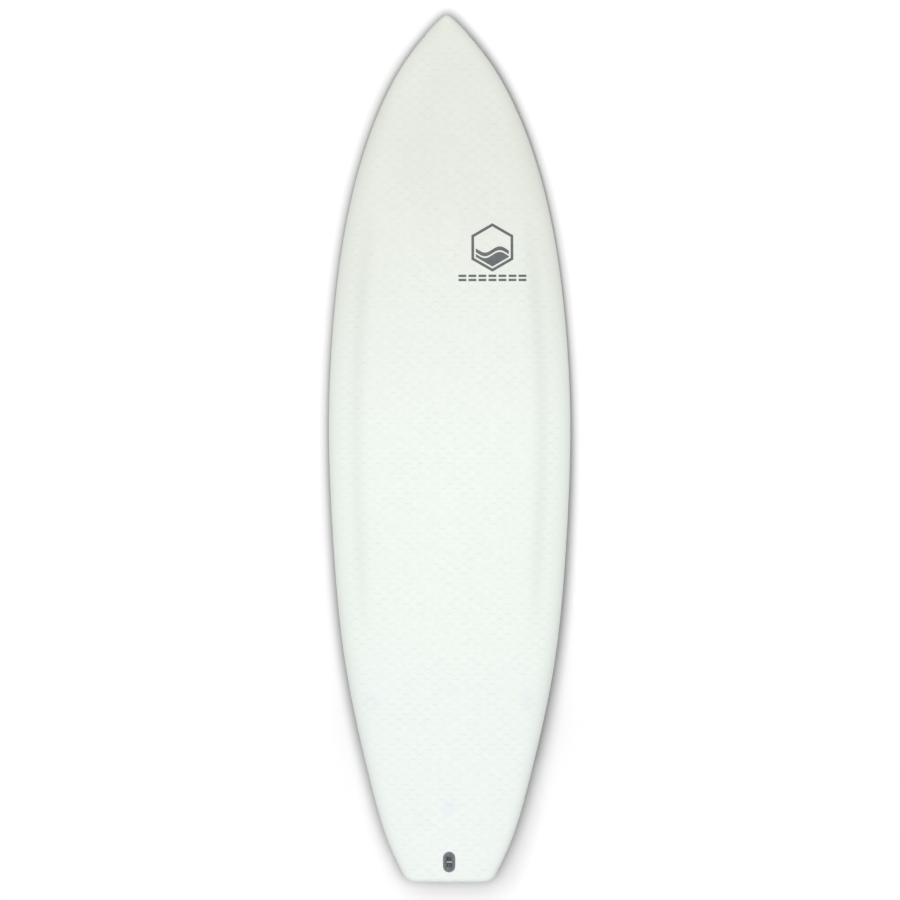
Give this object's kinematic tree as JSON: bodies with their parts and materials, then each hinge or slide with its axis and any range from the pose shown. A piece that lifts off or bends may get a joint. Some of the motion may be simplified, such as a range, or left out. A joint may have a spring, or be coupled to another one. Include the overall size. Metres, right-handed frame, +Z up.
{
  "type": "surfboard",
  "caption": "Short squash-tail surfboard with a stepped-rail deck, a recessed leash plug and removable two-tab fins held by grub screws.",
  "frame": {"origin": "centre of the board's box, on the floor that it rests on", "axes": "+Y towards the nose, +X to the right as seen from the tail, +Z up, with the deck up and the board leaning nose-down on its side fins and belly"},
  "size_m": [0.492, 1.7506, 0.1921],
  "materials": {
    "deck_laminate": "satin",
    "bottom_laminate": "gloss",
    "foam": "matte",
    "dense_foam": "matte",
    "plug_plastic": "matte",
    "fin_composite": "satin",
    "steel": "satin"
  },
  "bodies": {
    "hull": {"foam_core": "foam", "deck_skin": "deck_laminate", "bottom_skin": "bottom_laminate", "leash_insert": "dense_foam", "leash_cup": "plug_plastic", "leash_pin": "steel", "left_fin_insert": "dense_foam", "left_front_fin_plug": "plug_plastic", "left_rear_fin_plug": "plug_plastic", "right_fin_insert": "dense_foam", "right_front_fin_plug": "plug_plastic", "right_rear_fin_plug": "plug_plastic", "centre_fin_insert": "dense_foam", "centre_front_fin_plug": "plug_plastic", "centre_rear_fin_plug": "plug_plastic"},
    "left_fin": {"left_fin": "fin_composite"},
    "left_front_fin_screw": {"left_front_fin_screw": "steel"},
    "left_rear_fin_screw": {"left_rear_fin_screw": "steel"},
    "right_fin": {"right_fin": "fin_composite"},
    "right_front_fin_screw": {"right_front_fin_screw": "steel"},
    "right_rear_fin_screw": {"right_rear_fin_screw": "steel"},
    "centre_fin": {"centre_fin": "fin_composite"},
    "centre_front_fin_screw": {"centre_front_fin_screw": "steel"},
    "centre_rear_fin_screw": {"centre_rear_fin_screw": "steel"}
  },
  "joints": [
    {"name": "left_fin_slide", "type": "slide", "parent": "hull", "child": "left_fin", "axis": [-0.0388, -0.1798, -0.9829], "range_m": [0, 0.03]},
    {"name": "left_front_screw_turn", "type": "hinge", "parent": "hull", "child": "left_front_fin_screw", "pos_m": [-0.16259, -0.51523, 0.10112], "axis": [-0.4569, -0.1382, -0.8787], "range_deg": [-360, 720]},
    {"name": "left_rear_screw_turn", "type": "hinge", "parent": "hull", "child": "left_rear_fin_screw", "pos_m": [-0.16573, -0.57415, 0.11202], "axis": [-0.4569, -0.1382, -0.8787], "range_deg": [-360, 720]},
    {"name": "right_fin_slide", "type": "slide", "parent": "hull", "child": "right_fin", "axis": [0.0388, -0.1798, -0.9829], "range_m": [0, 0.03]},
    {"name": "right_front_screw_turn", "type": "hinge", "parent": "hull", "child": "right_front_fin_screw", "pos_m": [0.16259, -0.51523, 0.10112], "axis": [0.4569, -0.1382, -0.8787], "range_deg": [-360, 720]},
    {"name": "right_rear_screw_turn", "type": "hinge", "parent": "hull", "child": "right_rear_fin_screw", "pos_m": [0.16573, -0.57415, 0.11202], "axis": [0.4569, -0.1382, -0.8787], "range_deg": [-360, 720]},
    {"name": "centre_fin_slide", "type": "slide", "parent": "hull", "child": "centre_fin", "axis": [0, -0.2324, -0.9726], "range_m": [0, 0.03]},
    {"name": "centre_front_screw_turn", "type": "hinge", "parent": "hull", "child": "centre_front_fin_screw", "pos_m": [0.005, -0.7215, 0.14673], "axis": [0.4226, -0.2106, -0.8815], "range_deg": [-360, 720]},
    {"name": "centre_rear_screw_turn", "type": "hinge", "parent": "hull", "child": "centre_rear_fin_screw", "pos_m": [0.005, -0.77985, 0.16067], "axis": [0.4226, -0.2106, -0.8815], "range_deg": [-360, 720]}
  ]
}
